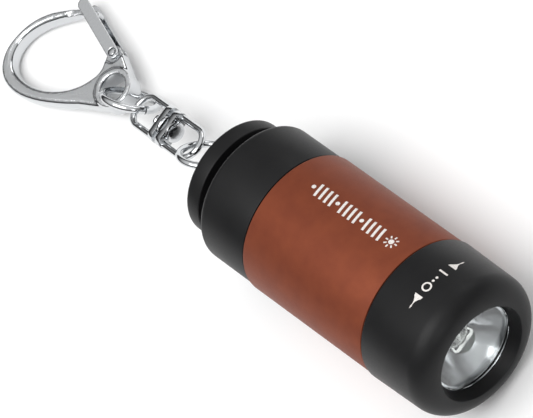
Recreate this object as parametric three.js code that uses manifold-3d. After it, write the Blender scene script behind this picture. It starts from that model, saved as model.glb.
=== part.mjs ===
// Keychain flashlight: a twist-head torch with a USB plug under its tail cap,
// on a short chain with a swivel and a trigger clasp.
//
// Millimetres, +Z up. The torch lies along X with its head towards +X. Inside the
// model every station along the torch is measured from the seam between the sleeve
// and the head. The chain runs away from the tail cap and slopes down to the surface
// that the torch lies on.

import * as THREE from 'three';
import { mergeVertices } from 'three/addons/utils/BufferGeometryUtils.js';
import Module from 'manifold-3d';

const wasm = await Module();
wasm.setup();

// ---------------------------------------------------------------- driving dimensions

const FIT = 0.3;                  // running gap between neighbouring pieces
const SNUG = 0.15;                // gap between pieces that sit in one another
const TOUCH = 0.05;               // gap under a thin piece that lies on its carrier

const SLEEVE_R = 12.5;
const SLEEVE_LENGTH = 28.06;
const SLEEVE_WALL = 1.2;
const EDGE = 0.15;                // broken edge on turned and moulded pieces

const HEAD_LENGTH = 14.31;        // seam to the front rim
const HEAD_STEP = 0.19;           // how far the head's rear edge stands proud
const HEAD_WALL = 2.2;            // at the rear, round the neck
const HEAD_POCKET_DEPTH = 4.6;    // rear bore that takes the neck
const LENS_R = 7.6;
const LENS_THICKNESS = 0.9;
const LENS_RECESS = 2.01;         // front rim to the front of the lens
const RIM_FLARE = 0.66;           // how much the recess widens towards the rim
const RIM_LAND = 0.3;             // flat ring on the front rim
const RIM_EDGE = 0.16;

const REFLECTOR_RIM = 0.5;        // from its mouth to the lens's edge
const REFLECTOR_HOLE_R = 3.0;
const REFLECTOR_DEPTH = 4.8;
const REFLECTOR_WALL = 0.7;
const REFLECTOR_FLANGE = 1.0;     // how far its flange reaches past the lens's edge
const SEAL_SIZE = 0.4;            // square section of the lens seal

const LED_R = 2.5;
const LED_FLANGE_R = 2.85;
const LED_FLANGE = 0.8;
const LED_BOARD_INSET = 0.4;      // board is this much smaller than the flange
const LED_BOARD_THICKNESS = 1.0;
const LED_PIN_R = 1.2;
const SWITCH_GAP = 0.35;          // open contact gap, closed by the screw travel

const NECK_GROOVE = 0.75;         // depth of the O-ring grooves
const NECK_RING_R = 0.42;         // O-ring section radius
const NECK_LENGTH = 3.6;

const BATTERY_R = 6.0;
const BATTERY_NUB_R = 2.4;
const BATTERY_NUB = 0.9;
const SPRING_R = 3.0;
const SPRING_WIRE = 0.6;
const SPRING_LENGTH = 3.4;
const SPRING_TURNS = 3;

const BOARD_THICKNESS = 1.0;
const CHIP = [1.2, 4.0, 2.4];     // along X, Y and Z

const USB_WIDTH = 12.0;
const USB_HEIGHT = 4.5;
const USB_SHEET = 0.3;
const USB_LENGTH = 16.6;
const USB_TONGUE_THICKNESS = 1.85;
const USB_CONTACT = [1.0, 0.2];   // width and thickness of one contact
const USB_CONTACT_PITCH = [2.5, 2.0];   // outer and inner spacing
const USB_CONTACT_LENGTH = [7.4, 6.4];  // outer pair, inner pair
const USB_WINDOW = 2.2;           // square latch windows in the shell

const BULKHEAD_LENGTH = 3.0;      // part inside the sleeve
const COLLAR_LENGTH = 2.5;        // part that the cap pushes over
const INDICATOR_R = 1.0;

const CAP_STEP = 0.25;            // cap is this much smaller than the sleeve
const CAP_WALL = 2.0;
const CAP_LENGTH = 10.95;         // front edge to the groove
const CAP_EDGE_R = 1.2;           // rounded rear edge
const CAP_GROOVE_WIDTH = 2.2;
const CAP_DISC_LENGTH = 3.2;
const CAP_DISC_LIP = 1.8;         // disc stands this far above the groove
const CAP_DISC_EDGE_R = 0.7;
const CAP_PLUG_WALL = 1.6;        // wall round the plug, under the groove
const CAP_PLUG_ROOM = 0.45;

const LUG_THICKNESS = 2.2;
const LUG_HOLE_R = 1.55;
const LUG_RIM = 0.8;
const LUG_REACH = 3.15;           // disc face to the centre of the lug's hole
const LUG_TURN = 48;              // degrees that the lug and jump ring are turned

const LINK_SLACK = 0.4;           // play between one wire and the next
const JUMP_RING_R = 4.45;         // to the middle of the wire
const JUMP_WIRE_R = 0.6;
const JUMP_RING_PLAY = 0.6;       // between its wire and the far side of the lug's hole
const JUMP_RING_CUT = 4;          // degrees left open where the ring's ends meet

const SWIVEL_WIDTH = 5.4;         // between the middles of the two side wires
const SWIVEL_WIRE_R = 0.58;
const SWIVEL_LOOP = 9.95;         // each loop, end wire to the hub's middle
const SWIVEL_PLATE = 1.3;         // thickness of the cross plates
const SWIVEL_PLATE_HEIGHT = 2.6;
const SWIVEL_WASHER = [1.9, 0.5]; // radius and thickness
const RIVET_R = 0.7;
const RIVET_HEAD = [1.85, 0.6];   // radius and thickness
const RIVET_KNOB = [1.3, 1.0];

const LINK_RING_R = 4.6;
const LINK_WIRE_R = 0.7;
const LINK_RING_CUT = 3;
const LINK_RING_TURN = -60;         // degrees about the chain
const LINK_RING_SLACK = 0.8;

const CLASP_THICKNESS = 3.0;
const CLASP_EDGE = 0.45;
const GATE_SHEET = 0.5;
const GATE_WIDTH = 2.1;
const GATE_LENGTH = 13.4;         // pivot to the free end
const GATE_WEB_END = 4.1;         // web stops this far short of the free end
const GATE_TURN = 162.1;          // degrees from +X to the gate's length
const GATE_SWEEP = [-20, 34];     // degrees each side of the closed gate left free
const CLASP_TONGUE = 2.0;         // body thickness between the gate's cheeks
const CLASP_EYE_R = 2.5;
const CLASP_BOSS_R = 3.6;
const CLASP_EYE_OFFSET = 0.3;     // ring wire past the eye's middle
const CLASP_PIVOT = [-4.8, 4.7];  // from the middle of the eye
const CLASP_EAR_R = 1.5;
const PIN_R = 0.6;
const GATE_SPRING_WIRE_R = 0.15;
const GATE_SPRING_TURNS = 2;

const ROUND = 40;                 // sides of the torch's large turned pieces
const SMALL_ROUND = 24;

// ---------------------------------------------------------------- materials

function finish(color, roughness, metalness) {
  return new THREE.MeshStandardMaterial({ color, roughness, metalness });
}
const blackPlastic = finish(0x2a2a2b, 0.6, 0);
const brownAluminium = finish(0x824530, 0.45, 0.6);
const clearPlastic = finish(0xe8eef2, 0.05, 0);
const mirror = finish(0xd8d8d8, 0.1, 1);
const rubber = finish(0x1a1a1a, 0.8, 0);
const boardGreen = finish(0x1f5c3a, 0.5, 0);
const brass = finish(0xc9a24b, 0.3, 1);
const cellWrap = finish(0x3566a8, 0.4, 0);
const steel = finish(0xb5b7ba, 0.3, 1);
const whitePlastic = finish(0xe9e9e4, 0.5, 0);
const chrome = finish(0xcfd1d4, 0.12, 1);

// ---------------------------------------------------------------- solids

// One closed skin from any geometry: corners shared, empty triangles dropped and
// the faces turned outwards.
function closed(geometry) {
  const bare = geometry.clone();
  bare.deleteAttribute('normal');
  bare.deleteAttribute('uv');
  const merged = mergeVertices(bare, 1e-4);
  const index = merged.index.array;
  const corners = merged.attributes.position;
  const kept = [];
  for (let i = 0; i < index.length; i += 3) {
    const [a, b, c] = index.slice(i, i + 3);
    if (a !== b && b !== c && c !== a) kept.push(a, b, c);
  }
  let volume = 0;
  const [p, q, r] = [new THREE.Vector3(), new THREE.Vector3(), new THREE.Vector3()];
  for (let i = 0; i < kept.length; i += 3) {
    p.fromBufferAttribute(corners, kept[i]);
    q.fromBufferAttribute(corners, kept[i + 1]);
    r.fromBufferAttribute(corners, kept[i + 2]);
    volume += p.dot(q.cross(r));
  }
  if (volume < 0) kept.reverse();
  merged.setIndex(kept);
  return merged;
}

function toSolid(geometry) {
  return new wasm.Manifold(new wasm.Mesh({
    numProp: 3,
    vertProperties: new Float32Array(geometry.attributes.position.array),
    triVerts: new Uint32Array(geometry.index.array),
  }));
}

function fromSolid(solid) {
  const mesh = solid.getMesh();
  const geometry = new THREE.BufferGeometry();
  geometry.setAttribute('position', new THREE.BufferAttribute(mesh.vertProperties, 3));
  geometry.setIndex(new THREE.BufferAttribute(mesh.triVerts, 1));
  return geometry;
}

function join(first, ...others) {
  return fromSolid(others.reduce((sum, other) => sum.add(toSolid(other)), toSolid(first)));
}

function cut(first, ...others) {
  return fromSolid(others.reduce((sum, other) => sum.subtract(toSolid(other)), toSolid(first)));
}

// A piece turned about the torch's own axis: the profile is a list of [station, radius].
// A profile that doesn't start on the axis is closed on itself.
function turned(profile, sides = ROUND) {
  const outline = profile.map(([station, radius]) => new THREE.Vector2(radius, station));
  if (profile[0][1] > 0) outline.push(outline[0].clone());
  const geometry = new THREE.LatheGeometry(outline, sides);
  geometry.rotateZ(-Math.PI / 2);
  return closed(geometry);
}

// Points of a round corner in a turned profile, between two angles in degrees that
// count from the +X direction towards larger radii.
function corner(station, radius, size, from, to, steps) {
  const points = [];
  for (let i = 0; i <= steps; i++) {
    const angle = THREE.MathUtils.degToRad(from + (to - from) * i / steps);
    points.push([station + size * Math.cos(angle), radius + size * Math.sin(angle)]);
  }
  return points;
}

function torus(station, radius, section, sides, sectionSides) {
  return turned(corner(station, radius, section, 0, 360, sectionSides).slice(0, -1), sides);
}

// A box between two corners, each [x, y, z].
function block(low, high) {
  const geometry = new THREE.BoxGeometry(...high.map((value, i) => value - low[i]));
  geometry.translate(...high.map((value, i) => (value + low[i]) / 2));
  return closed(geometry);
}

// A flat outline given in X and Y, made this thick about Z = 0.
function plate(outline, thickness, edge = 0, curveSegments = 12) {
  const corners = outline.getPoints(curveSegments);
  const apart = corners.filter((point, i) => (
    point.distanceTo(corners[(i + 1) % corners.length]) > 0.02
  ));
  const geometry = new THREE.ExtrudeGeometry(new THREE.Shape(apart), {
    depth: thickness - 2 * edge,
    bevelEnabled: edge > 0,
    bevelThickness: edge,
    bevelSize: edge,
    bevelOffset: -edge,
    bevelSegments: 1,
  });
  geometry.translate(0, 0, edge - thickness / 2);
  return closed(geometry);
}

function disc(radius, thickness, x, y, sides = SMALL_ROUND) {
  const geometry = new THREE.CylinderGeometry(radius, radius, thickness, sides);
  geometry.rotateX(Math.PI / 2);
  geometry.translate(x, y, 0);
  return closed(geometry);
}

function roundWire(path, radius, steps, sides) {
  const section = new THREE.Shape();
  for (let i = 0; i < sides; i++) {
    const angle = 2 * Math.PI * i / sides;
    const [x, y] = [radius * Math.cos(angle), radius * Math.sin(angle)];
    if (i === 0) section.moveTo(x, y);
    else section.lineTo(x, y);
  }
  section.closePath();
  return closed(new THREE.ExtrudeGeometry(section, { steps, extrudePath: path }));
}

// A circle or helix in the XY plane, between two angles in degrees.
class Winding extends THREE.Curve {
  constructor(radius, from, to, rise = 0) {
    super();
    Object.assign(this, { radius, from, to, rise });
  }

  getPoint(t, target = new THREE.Vector3()) {
    const angle = THREE.MathUtils.degToRad(this.from + (this.to - this.from) * t);
    return target.set(
      this.radius * Math.cos(angle),
      this.radius * Math.sin(angle),
      this.rise * (t - 0.5),
    );
  }
}

function piece(name, geometry, material) {
  const mesh = new THREE.Mesh(geometry, material);
  mesh.name = name;
  return mesh;
}

// ---------------------------------------------------------------- torch: shared stations

const HEAD_REAR = FIT;
const HEAD_R = SLEEVE_R + HEAD_STEP;
const HEAD_BORE_R = HEAD_R - HEAD_WALL;
const LENS_BORE_R = LENS_R + SNUG;
const LENS_FRONT = HEAD_LENGTH - LENS_RECESS;
const LENS_REAR = LENS_FRONT - LENS_THICKNESS;
const REFLECTOR_FRONT = LENS_REAR - SNUG;
const REFLECTOR_MOUTH_R = LENS_R - REFLECTOR_RIM;
const REFLECTOR_FLANGE_R = LENS_R + REFLECTOR_FLANGE;
const LED_BOARD_R = REFLECTOR_FLANGE_R - LED_BOARD_INSET;
const REFLECTOR_REAR = REFLECTOR_FRONT - REFLECTOR_DEPTH - SNUG;
const HEAD_SHOULDER = REFLECTOR_FRONT - 1.1;
const HEAD_INNER_R = REFLECTOR_FLANGE_R + FIT;
const LED_FLANGE_FRONT = REFLECTOR_REAR - SNUG;
const LED_BOARD_FRONT = LED_FLANGE_FRONT - LED_FLANGE - TOUCH;
const LED_BOARD_REAR = LED_BOARD_FRONT - LED_BOARD_THICKNESS;

const CORE_R = SLEEVE_R - SLEEVE_WALL - SNUG;
const CORE_BORE_R = BATTERY_R + FIT;
const NECK_R = HEAD_BORE_R - 0.5;
const CORE_SHOULDER = -FIT;
const BATTERY_FRONT = BATTERY_NUB - 0.8;

const SLEEVE_REAR = -SLEEVE_LENGTH;
const BULKHEAD_FRONT = SLEEVE_REAR + BULKHEAD_LENGTH;
const BOARD_REAR = BULKHEAD_FRONT + FIT;
const BOARD_FRONT = BOARD_REAR + BOARD_THICKNESS;
const SPRING_REAR = BOARD_FRONT + SNUG;
const BATTERY_REAR = SPRING_REAR + SPRING_LENGTH;    // the cell fills what is left
const CORE_REAR = BULKHEAD_FRONT + SNUG;
const CAP_FRONT = SLEEVE_REAR - FIT;
const CAP_R = SLEEVE_R - CAP_STEP;
const CAP_MOUTH_R = CAP_R - CAP_WALL;
const COLLAR_R = CAP_MOUTH_R - FIT;
const COLLAR_REAR = SLEEVE_REAR - COLLAR_LENGTH;
const USB_FRONT = BULKHEAD_FRONT;
const USB_REAR = USB_FRONT - USB_LENGTH;
const PLUG_ROOM_R = Math.hypot(USB_WIDTH, USB_HEIGHT) / 2 + CAP_PLUG_ROOM;
const CAP_GROOVE_R = PLUG_ROOM_R + CAP_PLUG_WALL;
const CAP_DISC_R = CAP_GROOVE_R + CAP_DISC_LIP;
const CAP_GROOVE_FRONT = CAP_FRONT - CAP_LENGTH;
const CAP_DISC_FRONT = CAP_GROOVE_FRONT - CAP_GROOVE_WIDTH;
const CAP_REAR = CAP_DISC_FRONT - CAP_DISC_LENGTH;
const LUG_HOLE = CAP_REAR - LUG_REACH;
const LUG_WIRE = LUG_HOLE - (LUG_HOLE_R - JUMP_WIRE_R - JUMP_RING_PLAY);

// ---------------------------------------------------------------- torch: head

function headShell() {
  const rimInner = LENS_BORE_R + RIM_FLARE;
  const rimOuter = rimInner + RIM_EDGE + RIM_LAND;
  const fillet = SLEEVE_R - rimOuter;
  return turned([
    [HEAD_REAR, HEAD_R - EDGE],
    [HEAD_REAR + EDGE, HEAD_R],
    ...corner(HEAD_LENGTH - fillet, rimOuter, fillet, 90, 0, 8),
    [HEAD_LENGTH, rimInner + RIM_EDGE],
    [HEAD_LENGTH - RIM_EDGE, rimInner],
    [LENS_FRONT, LENS_BORE_R],
    [HEAD_SHOULDER, LENS_BORE_R],
    [HEAD_SHOULDER, HEAD_INNER_R],
    [HEAD_REAR + HEAD_POCKET_DEPTH, HEAD_INNER_R],
    [HEAD_REAR + HEAD_POCKET_DEPTH, HEAD_BORE_R],
    [HEAD_REAR, HEAD_BORE_R],
  ]);
}

function lens() {
  return turned([
    [LENS_REAR, 0],
    [LENS_REAR, LENS_R],
    [LENS_FRONT - EDGE, LENS_R],
    [LENS_FRONT, LENS_R - EDGE],
    [LENS_FRONT, 0],
  ]);
}

// Flat ring between the reflector's flange and the shoulder in the head.
function lensSeal() {
  const front = HEAD_SHOULDER - TOUCH;
  return turned([
    [front, LENS_BORE_R + SNUG],
    [front, LENS_BORE_R + SNUG + SEAL_SIZE],
    [front - SEAL_SIZE, LENS_BORE_R + SNUG + SEAL_SIZE],
    [front - SEAL_SIZE, LENS_BORE_R + SNUG],
  ]);
}

// A parabolic cup: the radius grows with the square root of the depth from its vertex.
function reflector() {
  const gain = (REFLECTOR_MOUTH_R ** 2 - REFLECTOR_HOLE_R ** 2) / REFLECTOR_DEPTH;
  const vertex = REFLECTOR_FRONT - REFLECTOR_MOUTH_R ** 2 / gain;
  const flangeFront = HEAD_SHOULDER - SEAL_SIZE - 2 * TOUCH;
  const inner = [];
  const steps = 8;
  for (let i = 0; i <= steps; i++) {
    const radius = REFLECTOR_MOUTH_R + (REFLECTOR_HOLE_R - REFLECTOR_MOUTH_R) * i / steps;
    inner.push([vertex + radius ** 2 / gain, radius]);
  }
  const hole = inner[steps][0];
  return turned([
    ...inner,
    [REFLECTOR_REAR, REFLECTOR_HOLE_R],
    [REFLECTOR_REAR, REFLECTOR_HOLE_R + REFLECTOR_WALL],
    [hole, REFLECTOR_HOLE_R + 2 * REFLECTOR_WALL],
    [flangeFront - 1.6, REFLECTOR_MOUTH_R],
    [flangeFront - 0.8, REFLECTOR_FLANGE_R],
    [flangeFront, REFLECTOR_FLANGE_R],
    [flangeFront, LENS_R - SNUG],
    [REFLECTOR_FRONT, LENS_R - SNUG],
  ]);
}

// ---------------------------------------------------------------- torch: lamp module

function led() {
  const domeMiddle = LENS_REAR - FIT - LED_R;
  const rear = LED_FLANGE_FRONT - LED_FLANGE;
  return turned([
    [rear, 0],
    [rear, LED_FLANGE_R],
    [LED_FLANGE_FRONT, LED_FLANGE_R],
    [LED_FLANGE_FRONT, LED_R],
    ...corner(domeMiddle, 0, LED_R, 90, 0, 8).slice(0, -1),
    [domeMiddle + LED_R, 0],
  ], SMALL_ROUND);
}

function ledBoard() {
  return turned([
    [LED_BOARD_REAR, 0],
    [LED_BOARD_REAR, LED_BOARD_R],
    [LED_BOARD_FRONT, LED_BOARD_R],
    [LED_BOARD_FRONT, 0],
  ], SMALL_ROUND);
}

// Centre contact: hangs from the lamp board and stops short of the cell's nub.
function ledPin() {
  const rear = BATTERY_FRONT + BATTERY_NUB + SWITCH_GAP;
  return turned([
    [rear, 0],
    [rear, LED_PIN_R - 0.3],
    [rear + 0.3, LED_PIN_R],
    [LED_BOARD_REAR - TOUCH, LED_PIN_R],
    [LED_BOARD_REAR - TOUCH, 0],
  ], SMALL_ROUND);
}

// ---------------------------------------------------------------- torch: barrel

function sleeve() {
  return turned([
    [SLEEVE_REAR, SLEEVE_R - EDGE],
    [SLEEVE_REAR + EDGE, SLEEVE_R],
    [-EDGE, SLEEVE_R],
    [0, SLEEVE_R - EDGE],
    [0, SLEEVE_R - SLEEVE_WALL],
    [SLEEVE_REAR, SLEEVE_R - SLEEVE_WALL],
  ]);
}

const NECK_GROOVE_MIDDLE = (HEAD_REAR + NECK_LENGTH) / 2;

function core() {
  const halfGroove = NECK_RING_R + SNUG;
  return turned([
    [CORE_REAR, CORE_R],
    [CORE_SHOULDER, CORE_R],
    [CORE_SHOULDER, NECK_R],
    [NECK_GROOVE_MIDDLE - halfGroove, NECK_R],
    [NECK_GROOVE_MIDDLE - halfGroove, NECK_R - NECK_GROOVE],
    [NECK_GROOVE_MIDDLE + halfGroove, NECK_R - NECK_GROOVE],
    [NECK_GROOVE_MIDDLE + halfGroove, NECK_R],
    [NECK_LENGTH - EDGE, NECK_R],
    [NECK_LENGTH, NECK_R - EDGE],
    [NECK_LENGTH, CORE_BORE_R],
    [CORE_REAR, CORE_BORE_R],
  ]);
}

function neckRing() {
  const radius = NECK_R - NECK_GROOVE + NECK_RING_R + 0.1;
  return torus(NECK_GROOVE_MIDDLE, radius, NECK_RING_R, ROUND, 6);
}

function battery() {
  return turned([
    [BATTERY_REAR, 0],
    [BATTERY_REAR, BATTERY_R - 0.4],
    [BATTERY_REAR + 0.4, BATTERY_R],
    [BATTERY_FRONT - 0.4, BATTERY_R],
    [BATTERY_FRONT, BATTERY_R - 0.4],
    [BATTERY_FRONT, BATTERY_NUB_R],
    [BATTERY_FRONT + BATTERY_NUB, BATTERY_NUB_R],
    [BATTERY_FRONT + BATTERY_NUB, 0],
  ], SMALL_ROUND);
}

function batterySpring() {
  const rise = SPRING_LENGTH - SPRING_WIRE - SNUG;
  const path = new Winding(SPRING_R, 0, 360 * SPRING_TURNS, rise);
  const geometry = roundWire(path, SPRING_WIRE / 2, 12 * SPRING_TURNS, 5);
  geometry.rotateY(Math.PI / 2);
  geometry.translate((BATTERY_REAR + SPRING_REAR) / 2, 0, 0);
  return geometry;
}

function chargeBoard() {
  return turned([
    [BOARD_REAR, 0],
    [BOARD_REAR, CORE_BORE_R - FIT],
    [BOARD_FRONT, CORE_BORE_R - FIT],
    [BOARD_FRONT, 0],
  ], SMALL_ROUND);
}

const USB_SLOT_Y = USB_WIDTH / 2 + SNUG;
const USB_SLOT_Z = USB_HEIGHT / 2 + SNUG;
const COLLAR_GROOVE_R = COLLAR_R - NECK_GROOVE;
const INDICATOR_Z = (USB_SLOT_Z + COLLAR_GROOVE_R) / 2;

// Closes the barrel behind the charge board. Its collar carries the tail O-ring, and
// the plug and the charge lamp come out through it.
function rearBulkhead() {
  const middle = (SLEEVE_REAR + COLLAR_REAR) / 2;
  const halfGroove = NECK_RING_R + SNUG;
  const body = turned([
    [COLLAR_REAR, 0],
    [COLLAR_REAR, COLLAR_R - EDGE],
    [COLLAR_REAR + EDGE, COLLAR_R],
    [middle - halfGroove, COLLAR_R],
    [middle - halfGroove, COLLAR_GROOVE_R],
    [middle + halfGroove, COLLAR_GROOVE_R],
    [middle + halfGroove, COLLAR_R],
    [SLEEVE_REAR, COLLAR_R],
    [SLEEVE_REAR, CORE_R],
    [BULKHEAD_FRONT, CORE_R],
    [BULKHEAD_FRONT, 0],
  ]);
  const slot = block(
    [COLLAR_REAR - 1, -USB_SLOT_Y, -USB_SLOT_Z],
    [BULKHEAD_FRONT + 1, USB_SLOT_Y, USB_SLOT_Z],
  );
  const well = turned([
    [COLLAR_REAR - 1, 0],
    [COLLAR_REAR - 1, INDICATOR_R + SNUG],
    [BULKHEAD_FRONT + 1, INDICATOR_R + SNUG],
    [BULKHEAD_FRONT + 1, 0],
  ], 20);
  well.translate(0, 0, INDICATOR_Z);
  return cut(body, slot, well);
}

function tailRing() {
  const radius = COLLAR_GROOVE_R + NECK_RING_R + 0.1;
  return torus((SLEEVE_REAR + COLLAR_REAR) / 2, radius, NECK_RING_R, ROUND, 6);
}

function chargeLamp() {
  const geometry = turned([
    [COLLAR_REAR - 0.3, 0],
    ...corner(COLLAR_REAR + INDICATOR_R - 0.3, 0, INDICATOR_R, 180, 90, 5).slice(1),
    [BULKHEAD_FRONT, INDICATOR_R],
    [BULKHEAD_FRONT, 0],
  ], 20);
  geometry.translate(0, 0, INDICATOR_Z);
  return geometry;
}

function chargeChip() {
  const front = BOARD_FRONT + TOUCH;
  const high = SPRING_R + SPRING_WIRE / 2 + SNUG;
  return block(
    [front, -CHIP[1] / 2, -high - CHIP[2] * 0.6],
    [front + CHIP[0], CHIP[1] / 2, -high],
  );
}

// ---------------------------------------------------------------- torch: USB plug

// Folded sheet shell, open at the mouth and at the back, with latch windows.
function usbShell() {
  const [y, z] = [USB_WIDTH / 2, USB_HEIGHT / 2];
  const outer = block([USB_REAR, -y, -z], [USB_FRONT, y, z]);
  const cuts = [block(
    [USB_REAR - 1, -y + USB_SHEET, -z + USB_SHEET],
    [USB_FRONT + 1, y - USB_SHEET, z - USB_SHEET],
  )];
  for (const side of [-1, 1]) {
    const middle = side * USB_WIDTH * 0.21;
    cuts.push(block(
      [USB_REAR + 5.2, middle - USB_WINDOW / 2, 0],
      [USB_REAR + 5.2 + USB_WINDOW, middle + USB_WINDOW / 2, z + 1],
    ));
  }
  return cut(outer, ...cuts);
}

const TONGUE_LOW = -USB_HEIGHT / 2 + USB_SHEET + SNUG;
const TONGUE_TOP = TONGUE_LOW + USB_TONGUE_THICKNESS;

function usbTongue() {
  const y = USB_WIDTH / 2 - USB_SHEET - SNUG;
  return block([USB_REAR + 0.4, -y, TONGUE_LOW], [USB_FRONT, y, TONGUE_TOP]);
}

function usbContact(number) {
  const outer = number === 0 || number === 3;
  const [outerPitch, innerPitch] = USB_CONTACT_PITCH;
  const places = [-innerPitch / 2 - outerPitch, -innerPitch / 2, innerPitch / 2];
  const middle = [...places, innerPitch / 2 + outerPitch][number];
  const rear = USB_REAR + 1.2 + (outer ? 0 : 1);
  const [width, thickness] = USB_CONTACT;
  return block(
    [rear, middle - width / 2, TONGUE_TOP + TOUCH],
    [rear + USB_CONTACT_LENGTH[outer ? 0 : 1], middle + width / 2, TONGUE_TOP + TOUCH + thickness],
  );
}

// ---------------------------------------------------------------- torch: tail cap

// Moulded cap with a groove, an end disc and the lug that the jump ring goes through.
function tailCap() {
  const body = turned([
    [CAP_FRONT, CAP_R - EDGE],
    [CAP_FRONT, CAP_MOUTH_R],
    [CAP_GROOVE_FRONT + CAP_PLUG_WALL, CAP_MOUTH_R],
    [CAP_GROOVE_FRONT + CAP_PLUG_WALL, PLUG_ROOM_R],
    [CAP_REAR + CAP_PLUG_WALL, PLUG_ROOM_R],
    [CAP_REAR + CAP_PLUG_WALL, 0],
    [CAP_REAR, 0],
    ...corner(CAP_REAR + CAP_DISC_EDGE_R, CAP_DISC_R - CAP_DISC_EDGE_R,
      CAP_DISC_EDGE_R, 180, 90, 3),
    [CAP_DISC_FRONT, CAP_DISC_R],
    [CAP_DISC_FRONT, CAP_GROOVE_R],
    [CAP_GROOVE_FRONT, CAP_GROOVE_R],
    ...corner(CAP_GROOVE_FRONT + CAP_EDGE_R, CAP_R - CAP_EDGE_R, CAP_EDGE_R, 180, 90, 4),
    [CAP_FRONT - EDGE, CAP_R],
  ], ROUND);
  return cut(join(body, lug()), lugHole());
}

function turnToLug(geometry) {
  geometry.rotateX(THREE.MathUtils.degToRad(90 - LUG_TURN));
  geometry.translate(LUG_HOLE, 0, 0);
  return geometry;
}

function lug() {
  const radius = LUG_HOLE_R + LUG_RIM;
  const outline = new THREE.Shape();
  outline.moveTo(LUG_REACH + 0.6, -radius);
  outline.lineTo(LUG_REACH + 0.6, radius);
  outline.lineTo(0, radius);
  outline.absarc(0, 0, radius, Math.PI / 2, Math.PI * 1.5);
  outline.closePath();
  return turnToLug(plate(outline, LUG_THICKNESS, 0, 8));
}

function lugHole() {
  return turnToLug(disc(LUG_HOLE_R, LUG_THICKNESS + 2, 0, 0));
}

// ---------------------------------------------------------------- chain

// Stations along the chain, from the wire in the lug towards the clasp.
const SWIVEL_NEAR = 2 * JUMP_RING_R - JUMP_WIRE_R - SWIVEL_WIRE_R - LINK_SLACK;
const HUB = SWIVEL_NEAR + SWIVEL_LOOP;
const SWIVEL_FAR = HUB + SWIVEL_LOOP;
const LINK_NEAR = SWIVEL_FAR - SWIVEL_WIRE_R - LINK_WIRE_R - LINK_RING_SLACK;
const LINK_FAR = LINK_NEAR + 2 * LINK_RING_R;
const HUB_GAP = SWIVEL_WASHER[1] / 2 + FIT;       // hub's middle to each cross plate

// An open ring of wire in the chain, its cut on the side towards the torch's left.
function openRing(middle, radius, wire, cutAngle, turn) {
  const path = new Winding(radius, 90 + cutAngle / 2, 450 - cutAngle / 2);
  const geometry = roundWire(path, wire, 32, 8);
  geometry.rotateX(THREE.MathUtils.degToRad(turn));
  geometry.translate(-middle, 0, 0);
  return geometry;
}

function jumpRing() {
  return openRing(JUMP_RING_R, JUMP_RING_R, JUMP_WIRE_R, JUMP_RING_CUT, -LUG_TURN);
}

function linkRing() {
  return openRing(LINK_NEAR + LINK_RING_R, LINK_RING_R, LINK_WIRE_R, LINK_RING_CUT, LINK_RING_TURN);
}

// One swivel loop: a bent wire whose legs end in a cross plate. It is built with its
// round end towards +X and its hub at the origin.
function swivelLoop() {
  const half = SWIVEL_WIDTH / 2;
  const straight = SWIVEL_LOOP - half;
  const root = HUB_GAP + SWIVEL_PLATE / 2;
  const legs = [-half, half].map((y) => new THREE.Vector3(root, y, 0));
  const bends = [-half, half].map((y) => new THREE.Vector3(straight, y, 0));
  const path = new THREE.CurvePath();
  path.add(new THREE.LineCurve3(legs[0], bends[0]));
  const bow = new Winding(half, -90, 90);
  const points = bow.getPoints(10).map((point) => point.add(new THREE.Vector3(straight, 0, 0)));
  path.add(new THREE.CatmullRomCurve3(points));
  path.add(new THREE.LineCurve3(bends[1], legs[1]));
  const wire = roundWire(path, SWIVEL_WIRE_R, 26, 8);

  const outline = new THREE.Shape();
  const [wide, high] = [half + SWIVEL_WIRE_R + 0.1, SWIVEL_PLATE_HEIGHT / 2];
  outline.moveTo(-wide + high, -high);
  outline.lineTo(wide - high, -high);
  outline.absarc(wide - high, 0, high, -Math.PI / 2, Math.PI / 2);
  outline.lineTo(-wide + high, high);
  outline.absarc(-wide + high, 0, high, Math.PI / 2, Math.PI * 1.5);
  const cross = plate(outline, SWIVEL_PLATE, 0.2, 4);
  const hole = disc(RIVET_R + FIT, SWIVEL_PLATE + 1, 0, 0, 20);
  const drilled = cut(cross, hole);
  const toHub = new THREE.Matrix4().makeBasis(
    new THREE.Vector3(0, 1, 0), new THREE.Vector3(0, 0, 1), new THREE.Vector3(1, 0, 0),
  );
  drilled.applyMatrix4(toHub);
  drilled.translate(HUB_GAP + SWIVEL_PLATE / 2, 0, 0);
  const room = turned([
    [HUB_GAP - 1, 0],
    [HUB_GAP - 1, RIVET_R + FIT],
    [HUB_GAP + SWIVEL_PLATE + 1, RIVET_R + FIT],
    [HUB_GAP + SWIVEL_PLATE + 1, 0],
  ], 20);
  return cut(join(drilled, wire), room);
}

function swivelFrontLoop() {
  return swivelLoop().translate(-HUB, 0, 0);
}

function swivelRearLoop() {
  return swivelLoop().rotateZ(Math.PI).translate(-HUB, 0, 0);
}

// Headed on the torch side and peened over on the clasp side.
function swivelRivet() {
  const reach = HUB_GAP + SWIVEL_PLATE + FIT;
  const [headR, head] = RIVET_HEAD;
  const [knobR, knob] = RIVET_KNOB;
  return turned([
    [-reach - knob, 0],
    [-reach - knob, knobR * 0.6],
    [-reach - knob * 0.6, knobR],
    [-reach, knobR],
    [-reach, RIVET_R],
    [reach, RIVET_R],
    [reach, headR],
    [reach + head * 0.6, headR],
    [reach + head, headR * 0.8],
    [reach + head, 0],
  ], SMALL_ROUND).translate(-HUB, 0, 0);
}

function swivelWasher() {
  const [radius, thickness] = SWIVEL_WASHER;
  return turned([
    [-thickness / 2, RIVET_R + SNUG],
    [-thickness / 2, radius],
    [thickness / 2, radius],
    [thickness / 2, RIVET_R + SNUG],
  ], SMALL_ROUND).translate(-HUB, 0, 0);
}

// ---------------------------------------------------------------- clasp

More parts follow.
